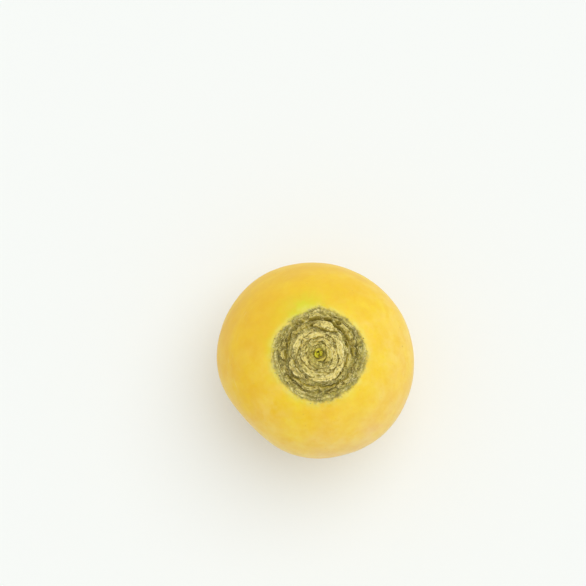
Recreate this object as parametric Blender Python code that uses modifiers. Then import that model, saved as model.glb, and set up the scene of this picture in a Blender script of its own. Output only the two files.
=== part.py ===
"""A yellow globe turnip with its leaves and tail cut off, for Blender 4.5. Metres, +Z up.

The swollen root is one solid. It stands on the flat cut where its tail was trimmed, and the
origin is the middle of that cut. The bases of the cut leaves stand on its crown in a spiral
round the growing bud, each a little clear of the root and of its neighbours.
"""

import math

import bmesh
import bpy

# The root, before it grows uneven.
ROOT_RADIUS = 0.0400  # at the widest level
WIDEST_LEVEL = 0.0375  # above the table
SHOULDER_RISE = 0.0300  # from the widest level to the top
SHOULDER_FULLNESS = 2.25  # 2 is an ellipse, and more is squarer
UNDERSIDE_DROP = 0.0370
TURN_STEPS = 64
SIDE_STEPS = 11
SHARP_ANGLE = math.radians(40.0)  # edges steeper than this are drawn sharp

# The tail's stump and its flat cut.
TAIL_NECK_RADIUS = 0.0110
TAIL_CUT_RADIUS = 0.0078
TAIL_ROUNDING = 0.0009

# The crown: a low mound in a round furrow, where the leaves grew.
CROWN_RADIUS = 0.0180
CROWN_STEPS = 12
MOUND_SINK = 0.0024  # how far the mound lies under the round of the shoulders
MOUND_REACH = 0.0153  # the radius where that sinking ends
FURROW_RADIUS = 0.0126
FURROW_WIDTH = 0.0026
FURROW_DEPTH = 0.0024
CROWN_OFFSET = (0.0026, -0.0030)  # of the crown's middle from the root's axis
LEAN_START, LEAN_END = 0.0250, 0.0580  # heights between which the root leans over to it

# Where the sides swell or flatten: direction and spread in degrees, and share of the radius.
SWELLINGS = (
    (126, 46, 0.042),
    (-48, 20, 0.014),
    (-136, 27, -0.075),
)
SWELLING_END = 0.0620  # the height above which the root is round

# The leaf bases, counted from the bud outwards.
LEAF_COUNT = 21
LEAF_TURN = math.radians(137.508)  # the golden angle, from each leaf to the next
FIRST_LEAF_RADIUS = 0.0029
LEAF_SPACING = 0.00058
FIRST_HALF_SPAN = math.radians(64.0)
SPAN_LOSS = math.radians(1.6)  # from each leaf to the next
LEAF_SPREAD = 30.0  # how much every radius grows with height, as a share for each metre
SPREAD_LEVEL = 0.0640  # the height where the radii are as stated
LEAF_THICKNESS = 0.0012
LEAF_EDGE_THICKNESS = 0.30  # of the full thickness, at both ends of the arc
LEAF_TOP_LEVEL = 0.0687  # of the innermost cut
LEAF_TOP_FALL = 0.0020  # how much lower the outermost cut is
LEAF_END_DROP = 0.45  # how far its ends dip, as a share of its height
LEAF_STEPS = (12, 2)

# The bud.
BUD_RADIUS = 0.0018
BUD_HEIGHT = 0.0028
BUD_SEGMENTS = 16
BUD_RINGS = 10

BUD_CLEARANCE = 0.00035
LEAF_CLEARANCE = 0.0006  # under the middle of its sheet, whose leaning corners reach lower


def smooth_step(start, end, value):
    share = min(1.0, max(0.0, (value - start) / (end - start)))
    return share * share * (3.0 - 2.0 * share)


def crown_height(radius):
    """The height of the crown's surface at this distance from the crown's middle."""
    fullness = SHOULDER_FULLNESS
    rise = SHOULDER_RISE * (1.0 - (radius / ROOT_RADIUS) ** fullness) ** (1.0 / fullness)
    mound = MOUND_SINK * (1.0 - smooth_step(0.0, MOUND_REACH, radius))
    furrow = FURROW_DEPTH * math.exp(-(((radius - FURROW_RADIUS) / FURROW_WIDTH) ** 2))
    return WIDEST_LEVEL + rise - mound - furrow


def root_profile():
    """Half the root's outline as (radius, height), from the crown's middle down to the tail's cut."""
    crown_radii = [CROWN_RADIUS * i / CROWN_STEPS for i in range(CROWN_STEPS)]
    points = [(radius, crown_height(radius)) for radius in crown_radii]
    power = 2.0 / SHOULDER_FULLNESS
    start = math.acos((CROWN_RADIUS / ROOT_RADIUS) ** (1.0 / power))
    for i in range(SIDE_STEPS):
        angle = start * (1.0 - i / SIDE_STEPS)
        rise = SHOULDER_RISE * math.sin(angle) ** power
        points.append((ROOT_RADIUS * math.cos(angle) ** power, WIDEST_LEVEL + rise))
    end = math.acos(TAIL_NECK_RADIUS / ROOT_RADIUS)
    for i in range(SIDE_STEPS + 1):
        angle = end * i / SIDE_STEPS
        points.append((ROOT_RADIUS * math.cos(angle), WIDEST_LEVEL - UNDERSIDE_DROP * math.sin(angle)))
    points.append((TAIL_CUT_RADIUS + TAIL_ROUNDING, TAIL_ROUNDING))
    points.append((TAIL_CUT_RADIUS, 0.0))
    points.append((0.0, 0.0))
    return points


def grown(point):
    """A point of the round root, moved to where uneven growth puts it."""
    angle = math.atan2(point.y, point.x)
    factor = 1.0
    for direction, spread, share in SWELLINGS:
        away = math.remainder(angle - math.radians(direction), math.tau)
        factor += share * math.exp(-((away / math.radians(spread)) ** 2))
    evenness = smooth_step(WIDEST_LEVEL, SWELLING_END, point.z)
    factor += (1.0 - factor) * evenness
    lean = smooth_step(LEAN_START, LEAN_END, point.z)
    return (
        point.x * factor + CROWN_OFFSET[0] * lean,
        point.y * factor + CROWN_OFFSET[1] * lean,
        point.z,
    )


def clear_scene():
    for obj in list(bpy.data.objects):
        bpy.data.objects.remove(obj, do_unlink=True)


def make_material(name, colour, roughness):
    material = bpy.data.materials.new(name)
    material.use_nodes = True
    shader = material.node_tree.nodes["Principled BSDF"]
    shader.inputs["Base Color"].default_value = (*colour, 1.0)
    shader.inputs["Roughness"].default_value = roughness
    shader.inputs["Metallic"].default_value = 0.0
    return material


def add_object(name, mesh, material, collection, parent):
    obj = bpy.data.objects.new(name, mesh)
    obj.data.materials.append(material)
    obj.parent = parent
    collection.objects.link(obj)
    return obj


def make_root(material, collection, parent):
    """The profile turned about the vertical axis, then grown uneven."""
    profile = bpy.data.meshes.new("root_profile")
    points = [(radius, 0.0, height) for radius, height in root_profile()]
    profile.from_pydata(points, [(i, i + 1) for i in range(len(points) - 1)], [])
    turned = add_object("root_turned", profile, material, collection, parent)
    screw = turned.modifiers.new("turn", "SCREW")
    screw.steps = TURN_STEPS
    screw.render_steps = TURN_STEPS
    screw.use_merge_vertices = True
    screw.merge_threshold = 0.00001
    graph = bpy.context.evaluated_depsgraph_get()
    mesh = bpy.data.meshes.new_from_object(turned.evaluated_get(graph))
    bpy.data.objects.remove(turned)
    for vertex in mesh.vertices:
        vertex.co = grown(vertex.co)
    root = add_object("root", mesh, material, collection, parent)
    mesh.shade_smooth()
    mesh.set_sharp_from_angle(angle=SHARP_ANGLE)
    return root


def leaf_point(index, across, up):
    """A point on a leaf base's middle sheet, across it from -1 to 1 and up it from 0 to 1."""
    foot_radius = FIRST_LEAF_RADIUS + LEAF_SPACING * index
    foot = LEAF_CLEARANCE + max(
        crown_height(foot_radius - LEAF_THICKNESS),
        crown_height(foot_radius + LEAF_THICKNESS),
    )
    cut = LEAF_TOP_LEVEL - LEAF_TOP_FALL * (index / (LEAF_COUNT - 1)) ** 2
    height = (cut - foot) * (1.0 - LEAF_END_DROP * abs(across) ** 3)
    level = foot + height * up
    radius = foot_radius * (1.0 + LEAF_SPREAD * (level - SPREAD_LEVEL))
    angle = LEAF_TURN * index + (FIRST_HALF_SPAN - SPAN_LOSS * index) * across
    return radius * math.cos(angle), radius * math.sin(angle), level


def make_leaf_base(index, material, collection, parent):
    """A curved sheet, thick in the middle and thin at its ends, standing on the crown."""
    mesh = bpy.data.meshes.new(f"leaf_base_{index + 1:02d}")
    grid = bmesh.new()
    bmesh.ops.create_grid(grid, x_segments=LEAF_STEPS[0], y_segments=LEAF_STEPS[1], size=1.0)
    across_shares = [vertex.co.x for vertex in grid.verts]
    for vertex in grid.verts:
        vertex.co = leaf_point(index, vertex.co.x, (vertex.co.y + 1.0) / 2.0)
    grid.to_mesh(mesh)
    grid.free()
    leaf = add_object(mesh.name, mesh, material, collection, parent)
    fullness = leaf.vertex_groups.new(name="fullness")
    for number, across in enumerate(across_shares):
        fullness.add([number], 1.0 - across * across, "REPLACE")
    solidify = leaf.modifiers.new("thickness", "SOLIDIFY")
    solidify.thickness = LEAF_THICKNESS
    solidify.offset = 0.0
    solidify.vertex_group = fullness.name
    solidify.thickness_vertex_group = LEAF_EDGE_THICKNESS
    return leaf


def make_bud(material, collection, parent):
    bpy.ops.mesh.primitive_uv_sphere_add(
        segments=BUD_SEGMENTS, ring_count=BUD_RINGS, radius=BUD_RADIUS
    )
    bud = bpy.context.object
    bud.name = "growing_bud"
    bud.data.name = bud.name
    for vertex in bud.data.vertices:
        vertex.co.z *= BUD_HEIGHT / (2.0 * BUD_RADIUS)
    for other in list(bud.users_collection):
        other.objects.unlink(bud)
    collection.objects.link(bud)
    bud.parent = parent
    bud.location.z = crown_height(0.0) + BUD_CLEARANCE + BUD_HEIGHT / 2.0
    bud.data.materials.append(material)
    bud.data.shade_smooth()
    return bud


def main():
    clear_scene()
    collection = bpy.data.collections.new("turnip")
    bpy.context.scene.collection.children.link(collection)
    foot = bpy.data.objects.new("foot", None)
    crown = bpy.data.objects.new("crown", None)
    crown.location = (*CROWN_OFFSET, 0.0)
    for empty in (foot, crown):
        collection.objects.link(empty)
    crown.parent = foot
    skin = make_material("root_skin", (0.86, 0.60, 0.08), 0.45)
    dry_leaf = make_material("dry_leaf", (0.55, 0.47, 0.20), 0.80)
    green_bud = make_material("green_bud", (0.38, 0.36, 0.03), 0.60)
    make_root(skin, collection, foot)
    for index in range(LEAF_COUNT):
        make_leaf_base(index, dry_leaf, collection, crown)
    make_bud(green_bud, collection, crown)


main()
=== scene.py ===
# %% [markdown]
# # A yellow globe turnip
# A turnip is a swollen root with a low stem on its top. This one's leaves and tail are cut off, and
# it stands on the tail's small flat cut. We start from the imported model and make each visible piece
# afresh over its solids: the root with its skin and corky crown, the leaf bases in their spiral, the
# bud between them, and the small things that cling to them.

# %% Load the frame
import math

import bpy
import numpy as np
from mathutils import Matrix, Vector


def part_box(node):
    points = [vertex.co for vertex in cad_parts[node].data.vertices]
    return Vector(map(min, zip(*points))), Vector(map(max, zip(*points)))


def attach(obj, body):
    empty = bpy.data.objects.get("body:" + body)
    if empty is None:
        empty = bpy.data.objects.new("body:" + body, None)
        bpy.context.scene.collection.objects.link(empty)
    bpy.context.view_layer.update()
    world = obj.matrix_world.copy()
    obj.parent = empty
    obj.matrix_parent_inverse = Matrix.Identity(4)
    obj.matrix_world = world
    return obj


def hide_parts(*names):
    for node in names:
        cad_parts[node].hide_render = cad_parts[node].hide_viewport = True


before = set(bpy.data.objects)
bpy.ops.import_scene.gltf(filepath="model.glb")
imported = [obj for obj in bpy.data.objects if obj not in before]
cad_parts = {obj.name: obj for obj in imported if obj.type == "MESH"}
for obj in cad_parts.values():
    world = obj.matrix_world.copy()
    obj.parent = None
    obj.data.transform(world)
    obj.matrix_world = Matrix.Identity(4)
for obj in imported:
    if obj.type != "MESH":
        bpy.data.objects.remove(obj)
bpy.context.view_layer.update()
ROOT_LOW, ROOT_HIGH = (Vector(corner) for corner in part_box("root"))
BUD_LOW, BUD_HIGH = (Vector(corner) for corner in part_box("growing_bud"))
CROWN_X = (BUD_LOW.x + BUD_HIGH.x) / 2.0
CROWN_Y = (BUD_LOW.y + BUD_HIGH.y) / 2.0
LEAF_NODES = sorted(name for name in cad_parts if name.startswith("leaf_base"))
MM = 0.001
print("root", [round(v / MM, 1) for v in ROOT_HIGH - ROOT_LOW], "mm, leaf bases:", len(LEAF_NODES))
print("the crown's middle is at", round(CROWN_X / MM, 2), round(CROWN_Y / MM, 2), "mm")

# %% [markdown]
# ## Sums written as sums
# Geometry Nodes and shader trees do arithmetic with Math nodes, and a formula takes dozens. Placed
# one by one, nobody can read them as a formula. Here a small class stands for a number in a tree:
# adding or multiplying two of them places the Math node and links it.


# %% A number in a node tree
class Number:
    """A number that a node tree works out at every point."""

    def __init__(self, tree, socket):
        self.tree = tree
        self.socket = socket

    def maths(self, operation, *others):
        node = self.tree.nodes.new("ShaderNodeMath")
        node.operation = operation
        for socket, given in zip(node.inputs, (self, *others)):
            feed(self.tree, socket, given)
        return Number(self.tree, node.outputs[0])

    def __add__(self, other):
        return self.maths("ADD", other)

    def __sub__(self, other):
        return self.maths("SUBTRACT", other)

    def __mul__(self, other):
        return self.maths("MULTIPLY", other)

    def __truediv__(self, other):
        return self.maths("DIVIDE", other)

    def __pow__(self, other):
        return self.maths("POWER", other)

    def __rsub__(self, other):
        return self * -1.0 + other

    __radd__ = __add__
    __rmul__ = __mul__

    def size(self):
        return self.maths("ABSOLUTE")

    def step(self, start, end, low=0.0, high=1.0):
        """low up to start, high from end on, and an S-curve between them."""
        node = self.tree.nodes.new("ShaderNodeMapRange")
        node.interpolation_type = "SMOOTHSTEP"
        for name, given in zip(
            ("Value", "From Min", "From Max", "To Min", "To Max"), (self, start, end, low, high)
        ):
            feed(self.tree, node.inputs[name], given)
        return Number(self.tree, node.outputs["Result"])


def feed(tree, socket, given):
    """Links a number or another socket to an input, or sets the input to a plain value."""
    if isinstance(given, Number):
        given = given.socket
    if isinstance(given, bpy.types.NodeSocket):
        tree.links.new(given, socket)
    else:
        socket.default_value = given


def add(tree, kind, settings=None, **inputs):
    """A new node with these settings and inputs. An input's name has _ for each space."""
    node = tree.nodes.new(kind)
    for name, value in (settings or {}).items():
        setattr(node, name, value)
    for name, given in inputs.items():
        feed(tree, node.inputs[name.replace("_", " ")], given)
    return node


def point(tree, x, y, z):
    return add(tree, "ShaderNodeCombineXYZ", X=x, Y=y, Z=z).outputs[0]


def parts_of(tree, vector):
    """The three numbers of a vector."""
    node = add(tree, "ShaderNodeSeparateXYZ", Vector=vector)
    return [Number(tree, socket) for socket in node.outputs]


def noise(tree, vector, scale, detail=2.0, seed=0.0, roughness=0.5, distortion=0.0):
    """Smooth noise from about 0 to 1, with the seed as its fourth coordinate."""
    node = add(
        tree, "ShaderNodeTexNoise", {"noise_dimensions": "4D"}, Vector=vector, W=seed, Scale=scale,
        Detail=detail, Roughness=roughness, Distortion=distortion,
    )
    return Number(tree, node.outputs[0])


def bell(value, middle, width):
    """1 at the middle, falling off on both sides like a bell."""
    return ((value - middle) / width * ((value - middle) / width) * -1.0).maths("EXPONENT")


def distance(east, north):
    return (east * east + north * north).maths("SQRT")


print("a formula can now be written as one")

# %% [markdown]
# ## Rules for Geometry Nodes
# Each main piece follows a rule, and each rule is a Geometry Nodes tree with named inputs. The tree
# ends by making its instances real and setting the material. The piece is then turned into a plain
# mesh, because a live modifier is worked out again each time the file is opened.


# %% Start and finish a tree
SOCKETS = {float: "NodeSocketFloat", int: "NodeSocketInt"}


def new_rule(name, **inputs):
    """A Geometry Nodes tree, and its named inputs as a dict."""
    tree = bpy.data.node_groups.new(name, "GeometryNodeTree")
    tree.interface.new_socket("Geometry", in_out="INPUT", socket_type="NodeSocketGeometry")
    tree.interface.new_socket("Geometry", in_out="OUTPUT", socket_type="NodeSocketGeometry")
    for label, value in inputs.items():
        kind = SOCKETS.get(type(value), "NodeSocketMaterial")
        socket = tree.interface.new_socket(label.replace("_", " "), in_out="INPUT", socket_type=kind)
        if kind != "NodeSocketMaterial":
            socket.default_value = value
    entry = tree.nodes.new("NodeGroupInput")
    sockets = {"Geometry": entry.outputs["Geometry"]}
    for label, value in inputs.items():
        socket = entry.outputs[label.replace("_", " ")]
        sockets[label] = Number(tree, socket) if isinstance(value, (float, int)) else socket
    return tree, sockets


def end_rule(tree, geometry, material):
    """The last nodes of every tree: real instances, smooth faces and a material."""
    real = add(tree, "GeometryNodeRealizeInstances", Geometry=geometry)
    smooth = add(tree, "GeometryNodeSetShadeSmooth", Geometry=real.outputs[0])
    painted = add(tree, "GeometryNodeSetMaterial", Geometry=smooth.outputs[0], Material=material)
    tree.links.new(painted.outputs[0], tree.nodes.new("NodeGroupOutput").inputs[0])


def store(tree, geometry, name, value, domain="POINT"):
    """Keeps a number on the mesh under this name, for the material to read."""
    node = add(
        tree, "GeometryNodeStoreNamedAttribute", {"data_type": "FLOAT", "domain": domain},
        Geometry=geometry, Name=name, Value=value,
    )
    return node.outputs[0]


def position_in(tree):
    """Where a point is, on whatever mesh the number is worked out for."""
    return tree.nodes.new("GeometryNodeInputPosition").outputs[0]


def push_out(tree, geometry, depth):
    """Moves each point of the mesh out along its normal."""
    normal = tree.nodes.new("GeometryNodeInputNormal").outputs[0]
    push = add(tree, "ShaderNodeVectorMath", {"operation": "SCALE"}, Vector=normal, Scale=depth)
    moved = add(tree, "GeometryNodeSetPosition", Geometry=geometry, Offset=push.outputs[0])
    return moved.outputs[0]


def new_object(name, data):
    """An object that is in the scene."""
    thing = bpy.data.objects.new(name, data)
    bpy.context.scene.collection.objects.link(thing)
    return thing


def grow(name, tree, mesh, **inputs):
    """The mesh put through the tree with these inputs, as a plain mesh in a new object."""
    piece = new_object(name, mesh)
    modifier = piece.modifiers.new("rule", "NODES")
    modifier.node_group = tree
    for item in tree.interface.items_tree:
        label = item.name.replace(" ", "_")
        if item.item_type == "SOCKET" and item.in_out == "INPUT" and label in inputs:
            modifier[item.identifier] = inputs[label]
    graph = bpy.context.evaluated_depsgraph_get()
    grown = bpy.data.meshes.new_from_object(piece.evaluated_get(graph))
    piece.modifiers.clear()
    piece.data = grown
    grown.name = name
    return piece


def triangles(piece):
    return sum(len(face.vertices) - 2 for face in piece.data.polygons)


print("a rule's numbers are", " or ".join(SOCKETS.values()))

# %% [markdown]
# ## Finishes that several materials share
# Skin, cork, dry leaf and bud are different materials, but they share four effects: broad
# blotches of a second colour, small specks of dirt, fine grain and thin cracks. Each effect is a
# shader node group with named inputs, so that a material sets its own sizes and seeds. The groups
# give out masks and heights, and the Principled shader stays in the material.


# %% Shader groups
def new_effect(name, outputs, **inputs):
    """A shader node group with these named inputs and outputs."""
    tree = bpy.data.node_groups.new(name, "ShaderNodeTree")
    tree.interface.new_socket("Vector", in_out="INPUT", socket_type="NodeSocketVector")
    for label, value in inputs.items():
        socket = tree.interface.new_socket(
            label.replace("_", " "), in_out="INPUT", socket_type="NodeSocketFloat"
        )
        socket.default_value = value
    for label in outputs:
        tree.interface.new_socket(label, in_out="OUTPUT", socket_type="NodeSocketFloat")
    entry = tree.nodes.new("NodeGroupInput")
    sockets = {label: Number(tree, entry.outputs[label.replace("_", " ")]) for label in inputs}
    sockets["Vector"] = entry.outputs["Vector"]
    return tree, sockets, tree.nodes.new("NodeGroupOutput")


def make_blotches():
    """Broad patches with soft edges, covering half of what they lie on."""
    tree, given, result = new_effect("blotches", ["Mask"], Scale=60.0, Sharpness=0.5, Seed=0.0)
    broad = noise(tree, given["Vector"], given["Scale"], 2.0, given["Seed"], distortion=0.6)
    small = noise(tree, given["Vector"], given["Scale"] * 4.3, 2.0, given["Seed"] + 5.0)
    value = broad * 0.75 + small * 0.25
    half = 0.30 - given["Sharpness"] * 0.25
    feed(tree, result.inputs["Mask"], value.step(0.5 - half, 0.5 + half))
    return tree


def make_specks():
    """Small dark spots, in loose clusters."""
    tree, given, result = new_effect("specks", ["Mask"], Scale=900.0, Amount=0.5, Seed=0.0)
    grains = noise(tree, given["Vector"], given["Scale"], 3.0, given["Seed"], roughness=0.6)
    clusters = noise(tree, given["Vector"], given["Scale"] * 0.16, 1.0, given["Seed"] + 3.0)
    limit = 0.80 - given["Amount"] * 0.28 - (clusters - 0.5) * 0.30
    feed(tree, result.inputs["Mask"], (grains - limit).step(0.0, 0.06))
    return tree


def make_grain():
    """A fine rough height, with pits."""
    tree, given, result = new_effect("grain", ["Height"], Scale=1500.0, Pits=0.3, Seed=0.0)
    fine = noise(tree, given["Vector"], given["Scale"], 3.0, given["Seed"], roughness=0.6)
    cell = add(tree, "ShaderNodeTexVoronoi", Vector=given["Vector"], Scale=given["Scale"] * 0.45)
    pit = Number(tree, cell.outputs["Distance"]).step(0.0, 0.22)
    feed(tree, result.inputs["Height"], fine * (1.0 - given["Pits"]) + pit * given["Pits"])
    return tree


def make_cracks():
    """Thin wandering lines, broken here and there."""
    tree, given, result = new_effect("cracks", ["Mask"], Scale=400.0, Width=0.02, Seed=0.0)
    level = noise(tree, given["Vector"], given["Scale"], 3.0, given["Seed"], roughness=0.6) - 0.5
    line = level.size().step(given["Width"], given["Width"] * 0.2)
    broken = noise(tree, given["Vector"], given["Scale"] * 0.8, 1.0, given["Seed"] + 2.0)
    feed(tree, result.inputs["Mask"], line * broken.step(0.42, 0.56))
    return tree


BLOTCHES = make_blotches()
SPECKS = make_specks()
GRAIN = make_grain()
CRACKS = make_cracks()
print("shared effects:", BLOTCHES.name, SPECKS.name, GRAIN.name, CRACKS.name)


# %% Helpers for materials
def linear(red, green, blue):
    """A colour given as 0 to 255 on a screen, as the light values that shaders use."""
    shares = [value / 255.0 for value in (red, green, blue)]
    return (*[s / 12.92 if s <= 0.04045 else ((s + 0.055) / 1.055) ** 2.4 for s in shares], 1.0)


def new_material(name, **settings):
    """A material with a Principled shader, with the same values all over set on its sockets."""
    material = bpy.data.materials.new(name)
    material.use_nodes = True
    shader = material.node_tree.nodes["Principled BSDF"]
    for label, value in settings.items():
        shader.inputs[label.replace("_", " ")].default_value = value
    return material, material.node_tree, shader


def mix(tree, share, first, second):
    """first where share is 0, and second where it is 1."""
    node = add(tree, "ShaderNodeMix", {"data_type": "RGBA", "clamp_factor": True})
    feed(tree, node.inputs["Factor"], share)
    feed(tree, node.inputs[6], first)
    feed(tree, node.inputs[7], second)
    return node.outputs[2]


def paint(tree, colours, colour, *coats):
    """The colour under these coats, each given as its share and its colour's name."""
    for share, name in coats:
        colour = mix(tree, share, colour, colours[name])
    return colour


def effect(tree, group, vector, **inputs):
    node = tree.nodes.new("ShaderNodeGroup")
    node.node_tree = group
    feed(tree, node.inputs["Vector"], vector)
    for label, value in inputs.items():
        feed(tree, node.inputs[label.replace("_", " ")], value)
    return Number(tree, node.outputs[0])


def kept(tree, name):
    """A number that the piece's own tree stored on its mesh."""
    node = add(tree, "ShaderNodeAttribute", {"attribute_name": name})
    return Number(tree, node.outputs["Fac"])


def bump(tree, height, distance, shader):
    node = add(tree, "ShaderNodeBump", Height=height, Distance=distance, Strength=1.0)
    tree.links.new(node.outputs["Normal"], shader.inputs["Normal"])


print("mid grey on a screen is", round(linear(128, 128, 128)[0], 3), "of full light")

# %% [markdown]
# ## The skin
# A yellow turnip's skin is thin, smooth and a little waxy. A single yellow looks like plastic, so
# the colour is coats over a golden base: the fade to the pale lower half, the lime collar round the
# crown, bright and mealy patches, fine cross lines where it stretched, old root scars, and dust. Some
# coats are painted light and shade: the golden patches thicken away from the sun and an amber deepens
# the far left, both painted shade, and the pale fade reaches higher on the near right as painted light.
# The dark between the crown's raised heart rings is painted shade. The crown's cork is part of the
# same skin, and the mesh carries masks that say where it is.


# %% Skin material
SKIN_COLOURS = {
    "yellow": linear(251, 219, 38),
    "golden": linear(240, 184, 24),
    "shade_amber": linear(233, 176, 6),
    "lime": linear(214, 226, 40),
    "pale": linear(247, 211, 150),
    "flank": linear(246, 202, 78),
    "bright": linear(255, 222, 34),
    "halo": linear(240, 230, 122),
    "core": linear(228, 212, 90),
    "mealy": linear(252, 222, 128),
    "line": linear(250, 224, 150),
    "dust": linear(176, 128, 50),
    "cork": linear(222, 202, 100),
    "cork_green": linear(178, 176, 84),
    "cork_dark": linear(108, 94, 38),
    "heart": linear(228, 206, 118),
    "cork_crest": linear(248, 234, 158),
    "root_scar": linear(176, 132, 74),
    "flesh": linear(244, 226, 170),
    "flesh_ring": linear(226, 196, 112),
}


def make_skin():
    material, tree, shader = new_material(
        "turnip_skin", Roughness=0.46, Specular_IOR_Level=0.42, Subsurface_Weight=0.16,
        Subsurface_Radius=(1.0, 0.55, 0.12), Subsurface_Scale=0.003, Coat_Weight=0.06,
        Coat_Roughness=0.30,
    )
    colours = SKIN_COLOURS
    where = add(tree, "ShaderNodeTexCoord").outputs["Object"]
    x, y, z = parts_of(tree, where)
    cork, crest, heart = (kept(tree, name) for name in ("cork", "crest", "heart"))
    collar, cut = (kept(tree, name) for name in ("collar", "tail_cut"))

    patches = effect(tree, BLOTCHES, where, Scale=48.0, Sharpness=0.35, Seed=2.0)
    # Painted shade: golden patches thicken on the side away from the sun.
    toward_sun = (x * 0.8 + y * 0.6) / 0.04
    # Painted light and shade along this side: the pale fade reaches higher towards the near right, and
    # amber deepens the far left.
    toward_near_right = (x * 0.62 - y * 0.85) / 0.04
    fade = z + (noise(tree, where, 60.0, 2.0, 4.0) - 0.5) * 0.018 - toward_near_right * 0.018
    stains = effect(tree, BLOTCHES, where, Scale=38.0, Sharpness=0.1, Seed=19.0)
    small_patches = effect(tree, BLOTCHES, where, Scale=210.0, Sharpness=0.3, Seed=9.0)
    swept = point(tree, x * 0.8, y * 0.8, z * 1.5)  # patches grow wider than they are high
    bright = effect(tree, BLOTCHES, swept, Scale=85.0, Sharpness=0.5, Seed=29.0)
    flecks = effect(tree, BLOTCHES, swept, Scale=130.0, Sharpness=0.6, Seed=23.0)
    mottle = noise(tree, where, 640.0, 3.0, 12.0, 0.65).step(0.30, 0.70)
    mealy = effect(tree, BLOTCHES, swept, Scale=58.0, Sharpness=0.65, Seed=38.0)
    mealy = mealy * effect(tree, BLOTCHES, where, Scale=150.0, Sharpness=0.6, Seed=43.0) * 0.42
    mealy = mealy + effect(tree, BLOTCHES, where, Scale=430.0, Sharpness=0.7, Seed=41.0) * 0.10
    mealy = mealy * toward_near_right.step(-1.0, 0.6, 0.15, 1.0) * (1.0 - collar)
    flat = point(tree, x * 0.35, y * 0.35, z * 2.6)
    lines = noise(tree, flat, 520.0, 2.0, 6.0).step(0.58, 0.72) * z.step(0.063, 0.052)
    lines = lines * noise(tree, where, 60.0, 1.0, 7.0).step(0.42, 0.62)
    wide = point(tree, x * 0.7, y * 0.7, z * 1.25)
    cells = add(tree, "ShaderNodeTexVoronoi", Vector=wide, Scale=120.0)
    scar = Number(tree, cells.outputs["Distance"]).step(0.14, 0.04) * z.step(0.046, 0.020)
    dust = effect(tree, SPECKS, where, Scale=1100.0, Amount=0.40, Seed=1.0)
    halo = kept(tree, "halo") * noise(tree, where, 240.0, 3.0, 31.0, 0.6).step(0.30, 0.62)
    colour = mix(tree, patches * (0.62 - toward_sun * 0.32), colours["yellow"], colours["golden"])
    colour = paint(
        tree, colours, colour,
        # painted shade: amber on the far left; painted light: the pale fade higher on the near right
        (toward_near_right.step(0.1, -0.8) * 0.58, "shade_amber"),
        (fade.step(0.057, 0.026, 0.0, 0.95), "pale"),
        (z.step(0.037, 0.020) * (stains * 0.50 + 0.25), "flank"),
        (collar, "lime"),
        (small_patches * 0.30, "golden"),
        (bright * (1.0 - collar) * 0.42, "bright"),
        (flecks * (1.0 - collar) * 0.34, "golden"),
        (mottle * 0.16, "golden"),
        (mealy, "mealy"),
        (lines * 0.22, "line"),
        (scar * 0.30, "root_scar"),
        (dust * 0.40, "dust"),
        (halo * 0.58, "halo"),
    )

    bark_patches = effect(tree, BLOTCHES, where, Scale=420.0, Sharpness=0.3, Seed=3.0)
    mossy = effect(tree, BLOTCHES, where, Scale=150.0, Sharpness=0.2, Seed=13.0)
    dirt = effect(tree, SPECKS, where, Scale=1050.0, Amount=0.68, Seed=8.0)
    cracks = effect(tree, CRACKS, where, Scale=360.0, Width=0.04, Seed=16.0) * cork
    bark = paint(
        tree, colours, mix(tree, bark_patches, colours["cork_dark"], colours["cork"]),
        (mossy * 0.32, "cork_green"),
        (heart * 0.45, "heart"),
        (crest * 0.95, "cork_crest"),
        (kept(tree, "core") * 0.45, "core"),
        # painted shade: darker in the grooves between the heart's raised rings
        (heart * (1.0 - crest) * 0.34, "cork_dark"),
        (dirt * 0.78, "cork_dark"),
        (cracks * 0.42, "cork_dark"),
    )
    frayed = cork + (noise(tree, where, 1000.0, 3.0, 15.0, 0.65) - 0.5) * 0.9
    colour = mix(tree, frayed.step(0.12, 0.78) * cork.step(0.0, 0.30), colour, bark)

    colour = paint(tree, colours, colour, (kept(tree, "pore") * 0.42, "line"))
    ring = bell(distance(x, y), 5.8 * MM, 0.6 * MM)
    flesh = mix(tree, ring * 0.8, colours["flesh"], colours["flesh_ring"])
    colour = mix(tree, cut, colour, flesh)
    tree.links.new(colour, shader.inputs["Base Color"])

    rough = cork * 0.36 + dust * 0.10 + noise(tree, where, 90.0, 2.0, 5.0) * 0.12 + 0.38
    feed(tree, shader.inputs["Roughness"], rough)
    skin_grain = effect(tree, GRAIN, where, Scale=1400.0, Pits=0.35, Seed=4.0)
    cork_grain = effect(tree, GRAIN, where, Scale=2200.0, Pits=0.15, Seed=6.0)
    height = skin_grain * 0.13 + lines * 0.08 + cork * cork_grain * 0.85 - scar * 0.35 - cracks * 0.5
    bump(tree, height, 0.0004, shader)
    return material


SKIN = make_skin()
print("skin:", len(SKIN.node_tree.nodes), "nodes")

# %% [markdown]
# ## Dry leaf
# The cut leaf bases have dried. Their cut faces are cream with tan fibres, and their sides are olive,
# going darker down in the gaps as painted shade, with specks of dirt. Each mesh carries how far up it
# a point is and whether it is on the cut face or its lip, so one material serves them all.


# %% Leaf and bud materials
LEAF_COLOURS = {
    "cream": linear(252, 236, 158),
    "tan": linear(232, 208, 114),
    "olive": linear(188, 172, 66),
    "dark": linear(122, 106, 38),
    "lip": linear(252, 242, 184),
}


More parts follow.
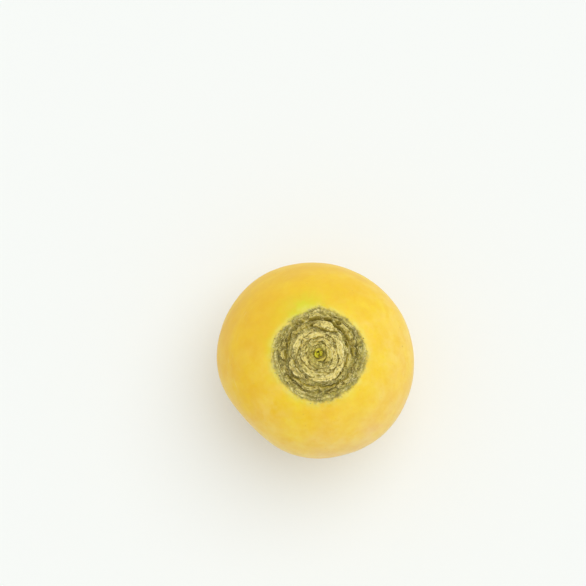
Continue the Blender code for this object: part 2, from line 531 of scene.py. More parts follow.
def make_leaf_material():
    material, tree, shader = new_material(
        "dry_leaf_base", Roughness=0.78, Specular_IOR_Level=0.25, Subsurface_Weight=0.08,
        Subsurface_Radius=(1.0, 0.8, 0.4), Subsurface_Scale=0.0008,
    )
    colours = LEAF_COLOURS
    where = add(tree, "ShaderNodeTexCoord").outputs["Object"]
    up, face, lip, shade, layers = (
        kept(tree, name) for name in ("up", "cut_face", "lip", "shade", "layers")
    )
    x, y, z = parts_of(tree, where)
    fibre = noise(tree, point(tree, x, y, z * 0.12), 1900.0, 3.0, 2.0, 0.6)
    side = mix(tree, fibre.step(0.35, 0.65), colours["olive"], colours["tan"])
    # painted shade: the sides darken towards their feet, down in the gaps
    side = paint(tree, colours, side, (up.step(0.95, 0.30), "dark"))
    patches = effect(tree, BLOTCHES, where, Scale=700.0, Sharpness=0.3, Seed=7.0)
    top = mix(tree, patches * 0.8, colours["cream"], colours["tan"])
    top = paint(tree, colours, top, (layers.step(0.52, 0.36) * 0.7, "olive"))
    dirt = effect(tree, SPECKS, where, Scale=1000.0, Amount=0.84, Seed=5.0)
    cracks = effect(tree, CRACKS, where, Scale=430.0, Width=0.035, Seed=14.0)
    colour = paint(
        tree, colours, mix(tree, face, side, top),
        (lip * 0.8, "lip"),
        (dirt * 0.68, "dark"),
        (cracks * 0.50, "dark"),
        # The shade input is random tone, green by the bud, and painted shade on leaf bases in the
        # furrow.
        (shade * (1.0 - lip * 0.8), "olive"),
    )
    tree.links.new(colour, shader.inputs["Base Color"])
    feed(tree, shader.inputs["Roughness"], fibre * 0.2 + 0.68)
    grain = effect(tree, GRAIN, where, Scale=2400.0, Pits=0.4, Seed=3.0)
    bump(tree, grain * 0.7 + fibre * 0.4 - cracks * 0.6 - dirt * 0.3, 0.0004, shader)
    return material


def make_bud_material():
    material, tree, shader = new_material(
        "green_bud", Roughness=0.55, Specular_IOR_Level=0.35, Subsurface_Weight=0.15,
        Subsurface_Radius=(0.6, 1.0, 0.2), Subsurface_Scale=0.0008,
    )
    where = add(tree, "ShaderNodeTexCoord").outputs["Object"]
    up = kept(tree, "up")
    patches = effect(tree, BLOTCHES, where, Scale=600.0, Sharpness=0.3, Seed=1.0)
    green = mix(tree, patches, linear(212, 206, 30), linear(200, 186, 50))
    green = mix(tree, kept(tree, "shade"), green, linear(216, 192, 104))
    # painted shade: the bud's leaves darken towards their feet, down between them
    colour = mix(tree, up.step(0.75, 0.20), green, linear(150, 138, 34))
    dirt = effect(tree, SPECKS, where, Scale=1900.0, Amount=0.35, Seed=2.0)
    colour = mix(tree, dirt * 0.35, colour, linear(84, 70, 26))
    tree.links.new(colour, shader.inputs["Base Color"])
    bump(tree, effect(tree, GRAIN, where, Scale=2600.0, Pits=0.3, Seed=5.0), 0.0002, shader)
    return material


DRY_LEAF = make_leaf_material()
GREEN_BUD = make_bud_material()
print("leaf:", len(DRY_LEAF.node_tree.nodes), "nodes, bud:", len(GREEN_BUD.node_tree.nodes))

# %% [markdown]
# ## The root
# A turnip grows round, so its shape is a profile turned about an axis, then swollen here and
# flattened there. A sculpted mesh can't be measured, so the profile is worked out from a few radii
# and heights: a full shoulder above the widest level, an ellipse below it, and a furrow round the
# low mound that the leaves stand on.

# %% Profile of the root
ROOT_RADIUS = 40.0 * MM
WIDEST_LEVEL = 37.5 * MM
SHOULDER_RISE = 30.0 * MM
SHOULDER_FULLNESS = 2.25
UNDERSIDE_DROP = 37.0 * MM
HEART_SINK = 0.2 * MM  # how far the crown's middle lies under the round of the shoulders
HEART_REACH = (8.0 * MM, 11.0 * MM)
BUD_HOLLOW = (2.5 * MM, 1.0 * MM)  # radius and depth
FURROW = (13.0 * MM, 2.3 * MM, 2.5 * MM)  # radius, width and depth
CROWN_RADIUS = 18.0 * MM
FOOT_RADIUS = 7.8 * MM
FOOT_ROUNDING = 0.9 * MM
NECK_RADIUS = 11.0 * MM
CROWN_ROWS = 84
SIDE_ROWS = 64
UNDER_ROWS = 62
NECK_ROWS = 4
ROUNDING_ROWS = 5
FOOT_ROWS = 22
COLUMNS = 400


def smooth_step(start, end, value):
    share = min(1.0, max(0.0, (value - start) / (end - start)))
    return share * share * (3.0 - 2.0 * share)


def crown_height(radius):
    """The height of the crown's surface at this distance from the crown's middle."""
    full = SHOULDER_FULLNESS
    rise = SHOULDER_RISE * (1.0 - (radius / ROOT_RADIUS) ** full) ** (1.0 / full)
    sink = HEART_SINK * (1.0 - smooth_step(*HEART_REACH, radius))
    sink += BUD_HOLLOW[1] * math.exp(-((radius / BUD_HOLLOW[0]) ** 4))
    middle, width, depth = FURROW
    return WIDEST_LEVEL + rise - sink - depth * math.exp(-(((radius - middle) / width) ** 2))


def root_profile():
    """Half the root's outline as (radius, height), from the crown's middle down to the foot's."""
    rows = [CROWN_RADIUS * i / CROWN_ROWS for i in range(CROWN_ROWS)]
    outline = [(radius, crown_height(radius)) for radius in rows]
    power = 2.0 / SHOULDER_FULLNESS
    start = math.acos((CROWN_RADIUS / ROOT_RADIUS) ** (1.0 / power))
    for i in range(SIDE_ROWS):
        angle = start * (1.0 - i / SIDE_ROWS)
        rise = SHOULDER_RISE * math.sin(angle) ** power
        outline.append((ROOT_RADIUS * math.cos(angle) ** power, WIDEST_LEVEL + rise))
    end = math.acos(NECK_RADIUS / ROOT_RADIUS)
    for i in range(UNDER_ROWS):
        angle = end * i / UNDER_ROWS
        drop = UNDERSIDE_DROP * math.sin(angle)
        outline.append((ROOT_RADIUS * math.cos(angle), WIDEST_LEVEL - drop))
    neck = (NECK_RADIUS, WIDEST_LEVEL - UNDERSIDE_DROP * math.sin(end))
    corner = (FOOT_RADIUS + FOOT_ROUNDING, FOOT_ROUNDING)
    for i in range(NECK_ROWS):
        share = i / NECK_ROWS
        outline.append(tuple(a + (b - a) * share for a, b in zip(neck, corner)))
    for i in range(ROUNDING_ROWS):
        turn = math.pi / 2.0 * i / (ROUNDING_ROWS - 1)
        reach = FOOT_RADIUS + FOOT_ROUNDING * math.cos(turn)
        outline.append((reach, FOOT_ROUNDING * (1.0 - math.sin(turn))))
    for i in range(1, FOOT_ROWS + 1):
        outline.append((FOOT_RADIUS * (1.0 - i / FOOT_ROWS), 0.0))
    return outline


outline = root_profile()
profile = bpy.data.meshes.new("root_profile")
joins = [(i, i + 1) for i in range(len(outline) - 1)]
profile.from_pydata([(radius, 0.0, height) for radius, height in outline], joins, [])
print("the profile has", len(outline), "points")

# %% [markdown]
# ## Turning and weathering the root
# The tree wraps a flat grid of points round the axis, row by row along the profile, and pushes the
# sides in or out where the root grew uneven. Then it weathers the surface along its normal: slow
# waves, a faint pair of grooves, and on the crown the broken, terraced rings that old leaves leave.
# The rings are saw-teeth of the distance from the middle. Noise bends them, so they split and join.

# %% The root's tree
SWELLINGS = (  # direction and spread in degrees, and share of the radius
    (126.0, 46.0, 0.042), (-48.0, 20.0, 0.014), (-136.0, 27.0, -0.075),
)
LEAN = (25.0 * MM, 58.0 * MM)  # the heights between which it leans over to the crown's middle
ROUND_ABOVE = 62.0 * MM
CROWN_ABOVE = (55.0 * MM, 60.0 * MM)  # where the crown's effects start, and where they are full
WAVE = 0.5 * MM
RING_SPACING = 1.9 * MM
RING_HEIGHT = 0.8 * MM
HEART_EDGE = (8.6 * MM, 11.2 * MM)  # where the mound starts to end, and where it ends
HEART_RING_SPACING = 1.15 * MM
CORK_EDGE = (15.7 * MM, 19.4 * MM)  # where the cork starts to thin out, and where it ends
HALO = (18.3 * MM, 1.1 * MM)  # radius and width of the pale ring outside the cork
COLLAR_START = 18.0 * MM


def make_root_rule():
    tree, given = new_rule(
        "turned_root", Columns=COLUMNS, Rows=len(outline), Crown_X=0.0, Crown_Y=0.0,
        Wave=WAVE, Ring_Spacing=RING_SPACING, Ring_Height=RING_HEIGHT, Seed=0.0, Material=SKIN,
    )
    grid = add(
        tree, "GeometryNodeMeshGrid", Size_X=1.0, Size_Y=1.0, Vertices_X=given["Columns"] + 1.0,
        Vertices_Y=given["Rows"],
    )
    here = position_in(tree)
    seed = given["Seed"]
    across, along, _ = parts_of(tree, here)
    row = ((along + 0.5) * (given["Rows"] - 1.0)).maths("ROUND")
    outline_at = tree.nodes.new("GeometryNodeSampleIndex")
    outline_at.data_type = "FLOAT_VECTOR"
    feed(tree, outline_at.inputs["Geometry"], given["Geometry"])
    feed(tree, outline_at.inputs["Value"], here)
    feed(tree, outline_at.inputs["Index"], row)
    radius, _, height = parts_of(tree, outline_at.outputs[0])
    angle = across * math.tau
    growth = 0.0
    for direction, spread, share in SWELLINGS:
        away = (angle - math.radians(direction)).maths("WRAP", -math.pi, math.pi)
        growth = bell(away, 0.0, math.radians(spread)) * share + growth
    growth = growth * height.step(WIDEST_LEVEL, ROUND_ABOVE, 1.0, 0.0) + 1.0
    lean = height.step(*LEAN)
    turned = point(
        tree,
        radius * growth * angle.maths("COSINE") + given["Crown_X"] * lean,
        radius * growth * angle.maths("SINE") + given["Crown_Y"] * lean,
        height,
    )
    body = add(tree, "GeometryNodeSetPosition", Geometry=grid.outputs["Mesh"], Position=turned)
    body = add(tree, "GeometryNodeMergeByDistance", Geometry=body.outputs[0], Distance=0.00001 * MM)
    body = add(tree, "GeometryNodeFlipFaces", Mesh=body.outputs[0])

    x, y, z = parts_of(tree, here)
    east, north = x - given["Crown_X"], y - given["Crown_Y"]
    reach = distance(east, north)
    above = z.step(*CROWN_ABOVE)
    bearing = north.maths("ARCTAN2", east)
    corners = (bearing * 4.0).maths("COSINE") * (-0.40 * MM)
    edge = reach + (noise(tree, here, 200.0, 3.0, seed, 0.6) - 0.5) * (3.2 * MM) + corners
    cork = edge.step(*CORK_EDGE, 1.0, 0.0) * above
    bent = reach + (noise(tree, here, 140.0, 2.0, seed + 1.0) - 0.5) * (6.0 * MM)
    saw = (bent / given["Ring_Spacing"]).maths("FRACT")
    ring = saw.step(0.0, 0.75) * saw.step(0.78, 1.0, 1.0, 0.0)
    patchy = noise(tree, here, 260.0, 2.0, seed + 2.0).step(0.30, 0.62)
    ring = ring * patchy
    heart = bent.step(*HEART_EDGE, 1.0, 0.0) * above
    wound = reach + (noise(tree, here, 230.0, 4.0, seed + 8.0, 0.65) - 0.5) * (8.0 * MM)
    fine_saw = (wound / HEART_RING_SPACING).maths("FRACT")
    gaps = noise(tree, here, 420.0, 2.0, seed + 9.0).step(0.34, 0.56)
    heart_ring = 1.0 - gaps * (1.0 - fine_saw.step(0.0, 0.34) * fine_saw.step(0.84, 1.0, 1.0, 0.0))
    heart_ring = heart_ring * reach.step(1.6 * MM, 3.0 * MM)
    rough = noise(tree, here, 900.0, 4.0, seed + 3.0, 0.65) - 0.5
    standing = z.step(0.4 * MM, 5.0 * MM)
    slow = (noise(tree, here, 34.0, 1.0, seed + 4.0) - 0.5) * given["Wave"] * 2.0
    fine = (noise(tree, here, 130.0, 2.0, seed + 5.0) - 0.5) * (0.22 * MM)
    groove_side = (y.maths("ARCTAN2", x) + 0.9).size().maths("WRAP", 0.0, math.pi)
    groove = bell(groove_side, 0.0, 0.10) * z.step(6.0 * MM, 30.0 * MM, -0.7 * MM, 0.0)
    crease_side = (bearing + 2.1).size().step(0.7, 1.5, 1.0, 0.0)
    crease = bell(edge, 19.6 * MM, 0.35 * MM) * crease_side * above * (-0.16 * MM)
    squeezed = point(tree, x * 0.3, y * 0.3, z * 2.0)
    wrinkles = noise(tree, squeezed, 420.0, 2.0, seed + 7.0) - 0.5
    wrinkles = wrinkles * z.step(6.0 * MM, 20.0 * MM, 0.5 * MM, 0.05 * MM)
    skin = (slow + fine + groove + wrinkles) * standing * cork.step(0.0, 1.0, 1.0, 0.3) + crease
    terraces = ring * given["Ring_Height"] * (1.0 - heart) + heart_ring * heart * (0.6 * MM)
    bark = (terraces + rough * (0.75 * MM)) * cork

    stored = store(tree, body.outputs[0], "cork", cork)
    stored = store(tree, stored, "heart", heart)
    stored = store(tree, stored, "halo", bell(edge, *HALO) * above)
    stored = store(tree, stored, "core", reach.step(3.0 * MM, 7.5 * MM, 1.0, 0.0))
    pale_edge = ring * (1.0 - heart) + heart_ring * heart
    stored = store(tree, stored, "crest", pale_edge * rough.step(-0.12, 0.10))
    sunny = bell((bearing - 1.95).maths("WRAP", -math.pi, math.pi), 0.0, 0.60)
    shaded = bell((bearing - 3.0).maths("WRAP", -math.pi, math.pi), 0.0, 1.5)
    uneven = noise(tree, here, 80.0, 2.0, seed + 6.0).step(0.25, 0.75)
    near = edge.step(COLLAR_START, 22.0 * MM, 0.48, 0.0) * (uneven * 0.5 + 0.3) * (shaded * 0.8 + 0.2)
    far = 1.0 - edge.step(COLLAR_START, 30.0 * MM)
    wide = 1.0 - edge.step(COLLAR_START, 33.0 * MM)
    collar = near + far * sunny * (uneven * 0.30 + 0.45) + wide * uneven * 0.16
    stored = store(tree, stored, "collar", collar.maths("MINIMUM", 0.85) * above)
    stored = store(tree, stored, "tail_cut", z.step(0.15 * MM, 0.5 * MM, 1.0, 0.0))
    end_rule(tree, push_out(tree, stored, skin + bark), given["Material"])
    return tree


root_rule = make_root_rule()
root_skin = grow(
    "root_skin", root_rule, profile, Columns=COLUMNS, Rows=len(outline), Crown_X=CROWN_X,
    Crown_Y=CROWN_Y, Wave=WAVE, Ring_Spacing=RING_SPACING, Ring_Height=RING_HEIGHT, Seed=3.0,
    Material=SKIN,
)
print("root:", triangles(root_skin), "triangles")

# %% [markdown]
# ## Leaf bases
# Leaves grow one after another round the bud, each a golden angle on from the last, so their bases
# make a rosette that never lines up. What is left of each is a crescent of dried stalk: thick in the
# middle, thin at its wings, torn across the top, with a hollow face and a raised lip. One tree bends
# a block of points into that crescent, and the number of the leaf sets how big it is.

# %% The leaf base's tree
LEAF_TURN = math.radians(137.508)
FIRST_LEAF_RADIUS = 2.9 * MM
LEAF_SPACING = 0.58 * MM
LEAF_SPREAD = 30.0  # how much every radius grows with height, as a share for each metre
SPREAD_LEVEL = 64.0 * MM  # the height where the radii are as stated
HALF_SPAN = (math.radians(64.0), math.radians(32.0))  # of the first leaf base and of the last
LEAF_BLOCK = (76, 17, 16)  # points along the arc, through the thickness and up


def make_leaf_rule():
    tree, given = new_rule(
        "leaf_base", Radius=8.0 * MM, Bearing=0.0, Half_Span=1.0, Foot=64.0 * MM, Cut=68.0 * MM,
        Thickness=1.8 * MM, End_Drop=0.4, Slope=0.3, Lip=0.3 * MM, Ragged=0.5 * MM, Curl=0.0,
        Broken=0.0, Crown_X=0.0, Crown_Y=0.0, Shade=0.0, Seed=0.0, Material=DRY_LEAF,
    )
    block = add(
        tree, "GeometryNodeMeshCube", Size=(1.0, 1.0, 1.0), Vertices_X=LEAF_BLOCK[0],
        Vertices_Y=LEAF_BLOCK[1], Vertices_Z=LEAF_BLOCK[2],
    )
    here = position_in(tree)
    x, y, z = parts_of(tree, here)
    across, deep, up = x * 2.0, y * 2.0, z + 0.5
    seed = given["Seed"]
    half = given["Thickness"] * 0.5
    tall = given["Cut"] - given["Foot"]
    arc = across * given["Half_Span"] * given["Radius"]
    edge = (1.0 - across * across).maths("MAXIMUM", 0.0)
    taper = (edge ** 1.4) * 0.86 + 0.14
    taper = taper * ((edge * 12.0).maths("MINIMUM", 1.0) * 0.6 + 0.4)

    along = point(tree, arc, deep * half * 0.4, 0.0)
    torn = noise(tree, along, 420.0, 3.0, seed, 0.6) - 0.5
    nicks = noise(tree, along, 1300.0, 2.0, seed + 2.0).step(0.60, 0.72)
    limit = given["Broken"] * -0.2 + 0.64
    breaks = noise(tree, along, 330.0, 1.0, seed + 3.0).step(limit, limit + 0.08)
    layers = noise(tree, point(tree, arc * 0.25, deep * half, 0.0), 2300.0, 2.0, seed + 11.0)
    rim = deep.size().step(0.45, 0.92)
    rim_height = noise(tree, along, 600.0, 2.0, seed + 4.0).step(0.30, 0.70)
    top = given["Cut"] - given["End_Drop"] * tall * across.size() ** 3.0
    top = top + torn * given["Ragged"] * 2.0 - nicks * given["Ragged"] * 0.5
    top = top - breaks * given["Broken"] * tall
    top = top - given["Slope"] * deep * half + rim * rim_height * given["Lip"]
    top = top + (layers - 0.5) * edge * (0.55 * MM)
    level = given["Foot"] + (top - given["Foot"]) * up

    wave_at = point(tree, arc, 0.0, up * tall * 0.5)
    wave = (noise(tree, wave_at, 230.0, 3.0, seed + 6.0, 0.6) - 0.5) * (3.1 * MM)
    lumps = noise(tree, point(tree, arc, deep.maths("SIGN"), 0.0), 420.0, 4.0, seed + 7.0, 0.7)
    taper = taper * (lumps * 1.5 + 0.25)
    fibre_at = point(tree, arc, deep * half, up * tall * 0.12)
    fibre = (noise(tree, fibre_at, 1700.0, 2.0, seed + 8.0) - 0.5) * deep * (0.22 * MM)
    closing = up.step(0.80, 1.0, 1.0, 0.80)
    spread = (level - SPREAD_LEVEL) * LEAF_SPREAD + 1.0
    outward = given["Radius"] * spread + deep * half * taper * closing + wave + fibre * edge
    outward = outward + given["Curl"] * up * up
    bearing = given["Bearing"] + given["Half_Span"] * across
    place = point(
        tree,
        given["Crown_X"] + outward * bearing.maths("COSINE"),
        given["Crown_Y"] + outward * bearing.maths("SINE"),
        level,
    )
    stored = store(tree, block.outputs["Mesh"], "up", up)
    stored = store(tree, stored, "cut_face", up.step(0.90, 0.995))
    stored = store(tree, stored, "lip", up.step(0.90, 1.0) * rim * rim_height)
    stored = store(tree, stored, "shade", given["Shade"])
    stored = store(tree, stored, "layers", layers)
    bent = add(tree, "GeometryNodeSetPosition", Geometry=stored, Position=place)
    crumble = (noise(tree, here, 1100.0, 3.0, seed + 9.0, 0.65) - 0.5) * (0.60 * MM)
    end_rule(tree, push_out(tree, bent.outputs[0], crumble), given["Material"])
    return tree


leaf_rule = make_leaf_rule()
empty_mesh = bpy.data.meshes.new("nothing")
WIDE_BASES = {0: 2.3, 8: 3.2, 9: 2.7, 10: 2.5, 11: 3.4, 12: 2.7}  # thickness in millimetres
NUDGES = {0: 0.5 * MM, 11: 0.6 * MM}  # outwards
SPAN_SHARES = {11: 0.62, 12: 0.80}
BASES_BY_THE_BUD = (0.5, 3.5)  # the leaf bases that are green, and where that ends
BASES_IN_THE_FURROW = (11.3, 12.9)  # where they start to be broken, and all are
rng = np.random.default_rng(11)
leaf_bases = []
for index, node in enumerate(LEAF_NODES):
    low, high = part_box(node)
    radius = FIRST_LEAF_RADIUS + LEAF_SPACING * index + NUDGES.get(index, 0.0)
    share = index / (len(LEAF_NODES) - 1)
    in_furrow = smooth_step(*BASES_IN_THE_FURROW, index)
    near_bud = 1.0 - smooth_step(*BASES_BY_THE_BUD, index)
    cut = high[2] - in_furrow * rng.uniform(0.5, 1.5) * MM + rng.uniform(-0.35, 0.20) * MM
    usual = 1.5 + 0.8 * smooth_step(0.0, 6.0, index) - 0.7 * in_furrow
    thickness = WIDE_BASES.get(index, usual) * MM
    half_span = HALF_SPAN[0] + (HALF_SPAN[1] - HALF_SPAN[0]) * share
    half_span *= SPAN_SHARES.get(index, 1.0)
    leaf_bases.append(grow(
        f"dry_{node}", leaf_rule, empty_mesh, Radius=radius + rng.uniform(-0.15, 0.15) * MM,
        Bearing=LEAF_TURN * index + rng.uniform(-0.12, 0.12),
        Half_Span=half_span * rng.uniform(0.82, 1.08),
        Foot=crown_height(radius) - 0.9 * MM, Cut=cut, Thickness=thickness * rng.uniform(0.88, 1.12),
        End_Drop=rng.uniform(0.15, 0.4), Slope=rng.uniform(0.15, 0.5), Lip=rng.uniform(0.25, 0.55) * MM,
        Ragged=rng.uniform(0.3, 0.6) * MM, Curl=in_furrow * rng.uniform(-0.2, 0.8) * MM,
        Broken=rng.uniform(0.05, 0.30) + 0.65 * in_furrow, Crown_X=CROWN_X, Crown_Y=CROWN_Y,
        # Shade: random tone, green by the bud, and painted shade on the leaf bases in the furrow
        Shade=rng.uniform(0.0, 0.25) + 0.20 * in_furrow + 0.30 * near_bud, Seed=20.0 + 13.0 * index,
        Material=DRY_LEAF,
    ))
print(len(leaf_bases), "leaf bases of", triangles(leaf_bases[0]), "triangles")

# %% [markdown]
# ## The bud
# In the middle the next leaves are still folded tight. They are leaf bases in small: the same tree
# makes them, thinner, closing inwards and pointed.

# %% Bud
BUD_LEAVES = (  # radius in millimetres, bearing and half span in degrees, share of dry tan
    (0.40, 8.0, 80.0, 0.0), (0.60, 184.0, 72.0, 0.0), (1.20, 30.0, 66.0, 0.15),
    (1.40, 205.0, 70.0, 0.05), (1.75, 112.0, 54.0, 0.35), (2.20, 300.0, 62.0, 0.70),
)
bud_leaves = []
for index, (radius, bearing, half_span, dry) in enumerate(BUD_LEAVES):
    bud_leaves.append(grow(
        f"bud_leaf_{index}", leaf_rule, empty_mesh, Radius=radius * MM,
        Bearing=math.radians(bearing), Half_Span=math.radians(half_span),
        Foot=crown_height(0.0) - 0.5 * MM, Cut=BUD_HIGH.z + (0.15 - 0.12 * radius) * MM,
        Thickness=0.95 * MM, End_Drop=0.35, Slope=-0.5, Lip=0.05 * MM, Ragged=0.20 * MM,
        Curl=-0.10 * MM * radius, Broken=0.0, Crown_X=CROWN_X, Crown_Y=CROWN_Y, Shade=dry,
        Seed=400.0 + 7.0 * index, Material=GREEN_BUD,
    ))
with bpy.context.temp_override(
    active_object=bud_leaves[0], selected_editable_objects=bud_leaves, selected_objects=bud_leaves
):
    bpy.ops.object.join()
bud = bud_leaves[0]
bud.name = "green_bud"
bud.data.name = bud.name
print("bud:", triangles(bud), "triangles")

# %% [markdown]
# ## Small things on the skin
# Three kinds of small thing repeat over the root: crumbs of cork round the crown, scraps of dry leaf
# among them, and short raised marks where the skin healed over its pores. Geometry Nodes scatter
# points over the root's own mesh, thicker where a mask says so, and put one small shape on each.


# %% Scatter rule
def scatter(tree, given, density, scale, lie=None):
    """The small shape in the tree, put on points over the mesh and turned to lie on it."""
    points = add(
        tree, "GeometryNodeDistributePointsOnFaces", Mesh=given["Geometry"], Density=density,
        Seed=given["Seed"],
    )
    turn = points.outputs["Rotation"]
    if lie is not None:
        turn = add(
            tree, "FunctionNodeAlignRotationToVector", {"axis": "X", "pivot_axis": "Z"}, Rotation=turn,
            Vector=lie,
        ).outputs[0]
    return add(
        tree, "GeometryNodeInstanceOnPoints", Points=points.outputs["Points"], Instance=given["Shape"],
        Rotation=turn, Scale=scale,
    ).outputs[0]


def random_between(tree, low, high, number):
    node = add(tree, "FunctionNodeRandomValue", {"data_type": "FLOAT"})
    feed(tree, node.inputs[2], low)
    feed(tree, node.inputs[3], high)
    feed(tree, node.inputs["ID"], tree.nodes.new("GeometryNodeInputIndex").outputs[0])
    feed(tree, node.inputs["Seed"], number)
    return Number(tree, node.outputs[1])


def random_size(tree, size, *limits):
    """A scale for each small shape, with its length, width and height between these limits."""
    return point(tree, *[
        size * random_between(tree, low, high, number)
        for number, (low, high) in enumerate(limits, FIRST_SIZE_DRAW)
    ])


def named(tree, name):
    node = add(tree, "GeometryNodeInputNamedAttribute", {"data_type": "FLOAT"}, Name=name)
    return Number(tree, node.outputs["Attribute"])


CRUMB_FACES = 20
SCRAP_FACES = 56
PORE_FACES = 48
FIRST_SIZE_DRAW = 2  # of the three random draws for a size
print("each small shape has", CRUMB_FACES, "to", SCRAP_FACES, "triangles")


# %% Cork crumbs
def make_crumb_rule():
    tree, given = new_rule("cork_crumbs", Density=1.0e6, Size=0.5 * MM, Seed=1, Material=SKIN)
    lump = add(tree, "GeometryNodeMeshIcoSphere", Radius=0.5, Subdivisions=1)
    given["Shape"] = lump.outputs["Mesh"]
    where = named(tree, "cork")
    here = position_in(tree)
    clusters = noise(tree, here, 500.0, 2.0, 4.0).step(0.42, 0.66)
    rim = where.step(0.25, 0.60) * where.step(0.80, 1.0, 1.0, 0.45)
    scale = random_size(tree, given["Size"], (0.5, 1.5), (0.4, 1.0), (0.2, 0.7))
    crumbs = scatter(tree, given, given["Density"] * clusters * rim, scale)
    crumbs = store(tree, crumbs, "cork", 1.0, "INSTANCE")
    crumbs = store(tree, crumbs, "crest", random_between(tree, 0.0, 0.9, 5), "INSTANCE")
    end_rule(tree, crumbs, given["Material"])
    return tree


crumbs = grow(
    "cork_crumbs", make_crumb_rule(), root_skin.data.copy(), Density=2.2e6, Size=0.55 * MM, Seed=4,
    Material=SKIN,
)
print("cork crumbs:", triangles(crumbs) // CRUMB_FACES)


# %% Scraps of dry leaf
def make_scrap_rule():
    tree, given = new_rule("leaf_scraps", Density=1.0e6, Size=1.5 * MM, Seed=1, Material=DRY_LEAF)
    block = add(
        tree, "GeometryNodeMeshCube", Size=(1.0, 1.0, 1.0), Vertices_X=5, Vertices_Y=2, Vertices_Z=3
    )
    here = position_in(tree)
    x, y, z = parts_of(tree, here)
    up = z + 0.5
    torn = 1.0 - noise(tree, x, 4.0, 1.0, 3.0) * 0.5 * up - (x * x) * 1.6 * up
    bent = point(tree, x, y * 0.14 * (1.3 - up) - x * x * 0.9 + up * 0.25, up * torn - 0.2)
    sheet = store(tree, block.outputs["Mesh"], "up", up)
    sheet = store(tree, sheet, "cut_face", up.step(0.6, 1.0))
    sheet = store(tree, sheet, "lip", up.step(0.5, 1.0) * 0.8)
    sheet = add(tree, "GeometryNodeSetPosition", Geometry=sheet, Position=bent)
    given["Shape"] = sheet.outputs[0]
    # From here on x and y are worked out on the root's mesh, and not on the block.
    east, north = x - CROWN_X, y - CROWN_Y
    round_crown = point(tree, north * -1.0, east, 0.0)
    reach = distance(east, north)
    band = reach.step(9.5 * MM, 11.5 * MM) * reach.step(15.5 * MM, 18.0 * MM, 1.0, 0.0)
    scale = random_size(tree, given["Size"], (0.6, 1.7), (0.5, 1.0), (0.35, 0.85))
    density = given["Density"] * band * named(tree, "cork")
    scraps = scatter(tree, given, density, scale, round_crown)
    scraps = store(tree, scraps, "shade", random_between(tree, 0.0, 0.6, 5), "INSTANCE")
    scraps = store(tree, scraps, "layers", random_between(tree, 0.35, 0.7, 6), "INSTANCE")
    end_rule(tree, scraps, given["Material"])
    return tree


scraps = grow(
    "leaf_scraps", make_scrap_rule(), root_skin.data.copy(), Density=2.6e5, Size=1.5 * MM, Seed=5,
    Material=DRY_LEAF,
)
print("scraps of leaf:", triangles(scraps) // SCRAP_FACES)


# %% Healed pores
def make_pore_rule():
    tree, given = new_rule("healed_pores", Density=20000.0, Size=1.0 * MM, Seed=1, Material=SKIN)
    given["Shape"] = add(
        tree, "GeometryNodeMeshUVSphere", Radius=0.5, Segments=8, Rings=4
    ).outputs["Mesh"]
    here = position_in(tree)
    x, y, z = parts_of(tree, here)
    level = point(tree, y * -1.0, x, 0.0)
    clusters = noise(tree, here, 70.0, 2.0, 2.0).step(0.40, 0.62)
    sides = z.step(4.0 * MM, 9.0 * MM) * z.step(34.0 * MM, 58.0 * MM, 1.0, 0.0)
    scale = random_size(tree, given["Size"], (0.5, 1.8), (0.14, 0.26), (0.05, 0.10))
    pores = scatter(tree, given, given["Density"] * clusters * sides, scale, level)
    pores = store(tree, pores, "pore", random_between(tree, 0.3, 1.0, 5), "INSTANCE")
    end_rule(tree, pores, given["Material"])
    return tree


pores = grow(
    "healed_pores", make_pore_rule(), root_skin.data.copy(), Density=26000.0, Size=1.1 * MM, Seed=7,
    Material=SKIN,
)
print("healed pores:", triangles(pores) // PORE_FACES)


# %% [markdown]
# ## Floor, light and camera
# The turnip stands on a plain pale floor in soft light. A broad soft sun high on the right and behind
# makes the shadow on the left and in front, and a pale sky fills in the rest.

# %% Floor
FLOOR_HALF = 1.5
floor_mesh = bpy.data.meshes.new("floor")
corners = [(x * FLOOR_HALF, y * FLOOR_HALF, 0.0) for x, y in ((-1, -1), (1, -1), (1, 1), (-1, 1))]
floor_mesh.from_pydata(corners, [], [(0, 1, 2, 3)])
floor = new_object("floor", floor_mesh)
floor_material, _, floor_shader = new_material("floor_card", Roughness=0.75, Specular_IOR_Level=0.2)
floor_shader.inputs["Base Color"].default_value = linear(246, 248, 247)
floor_mesh.materials.append(floor_material)
print("the floor is", 2.0 * FLOOR_HALF, "m wide")

# %% Sky
SKY_STRENGTH = 0.71
SKY_COLOUR = (0.965, 0.985, 0.97, 1.0)
EXTRA_BEHIND = 0.26  # so that the floor's far edge doesn't show against it
world = bpy.data.worlds.new("pale_sky")
bpy.context.scene.world = world
world.use_nodes = True
sky = world.node_tree.nodes["Background"]
sky.inputs["Color"].default_value = SKY_COLOUR
rays = world.node_tree.nodes.new("ShaderNodeLightPath")
seen = Number(world.node_tree, rays.outputs["Is Camera Ray"])
feed(world.node_tree, sky.inputs["Strength"], seen * EXTRA_BEHIND + SKY_STRENGTH)
bpy.context.scene.view_settings.view_transform = "Standard"
print("the sky lights the turnip at", SKY_STRENGTH)

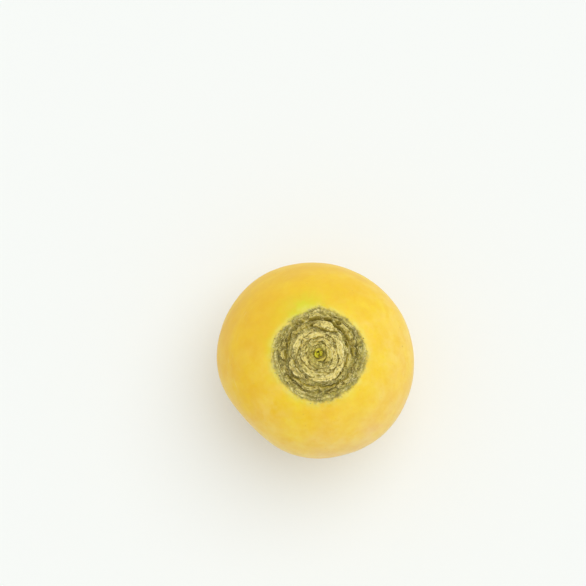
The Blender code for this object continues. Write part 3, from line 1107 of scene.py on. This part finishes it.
# %% Broad soft sun
SUN_STRENGTH = 1.13
SUN_WIDTH = math.radians(62.0)
SUN_SHINES = Vector((-0.74, -0.58, -2.20))
lamp = bpy.data.lights.new("key", "SUN")
lamp.energy = SUN_STRENGTH
lamp.angle = SUN_WIDTH
lamp.color = (1.0, 0.985, 0.96)
key = new_object("key", lamp)
key.matrix_world = SUN_SHINES.to_track_quat("-Z", "Y").to_matrix().to_4x4()
print("the sun shines along", [round(v, 2) for v in SUN_SHINES])

# %% Camera
LENS = 50.0
SENSOR = 36.0
CAMERA_DISTANCE = 0.341
CAMERA_ELEVATION = math.radians(82.5)
RIGHT_OF_MIDDLE = 0.03618 * SENSOR  # where the turnip's middle falls in the frame
BELOW_MIDDLE = 0.11331 * SENSOR
middle = (ROOT_LOW + ROOT_HIGH) / 2.0
camera_data = bpy.data.cameras.new("camera")
camera_data.lens = LENS
camera_data.sensor_width = SENSOR
camera = new_object("camera", camera_data)
bpy.context.scene.camera = camera
backward = Vector((0.0, -math.cos(CAMERA_ELEVATION), math.sin(CAMERA_ELEVATION)))
stand = middle + backward * CAMERA_DISTANCE
look = (-backward).to_track_quat("-Z", "Y").to_matrix().to_4x4()
tilt = Matrix.Rotation(math.atan2(BELOW_MIDDLE, LENS), 4, "X")
swing = Matrix.Rotation(math.atan2(RIGHT_OF_MIDDLE, LENS), 4, "Y")
camera.matrix_world = Matrix.Translation(stand) @ look @ tilt @ swing
print("camera at", [round(v, 3) for v in stand])

# %% [markdown]
# ## Join the pieces to the model
# Every piece rides on the model's one body, and each piece that stands for a plain solid hides it.

# %% Ride and replace
stand_ins = [(root_skin, "root", "root_skin"), (bud, "growing_bud", "green_bud")]
stand_ins += [(base, node, "dry_leaf") for base, node in zip(leaf_bases, LEAF_NODES)]
small_things = [(crumbs, "root_skin"), (pores, "root_skin"), (scraps, "dry_leaf")]
for piece, node, slot in stand_ins:
    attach(piece, "root")
    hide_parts(node)
for piece, slot in small_things:
    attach(piece, "root")
print(len(stand_ins), "pieces stand for solids, and", len(small_things), "cling to them")

# %% End
print("the scene is built")
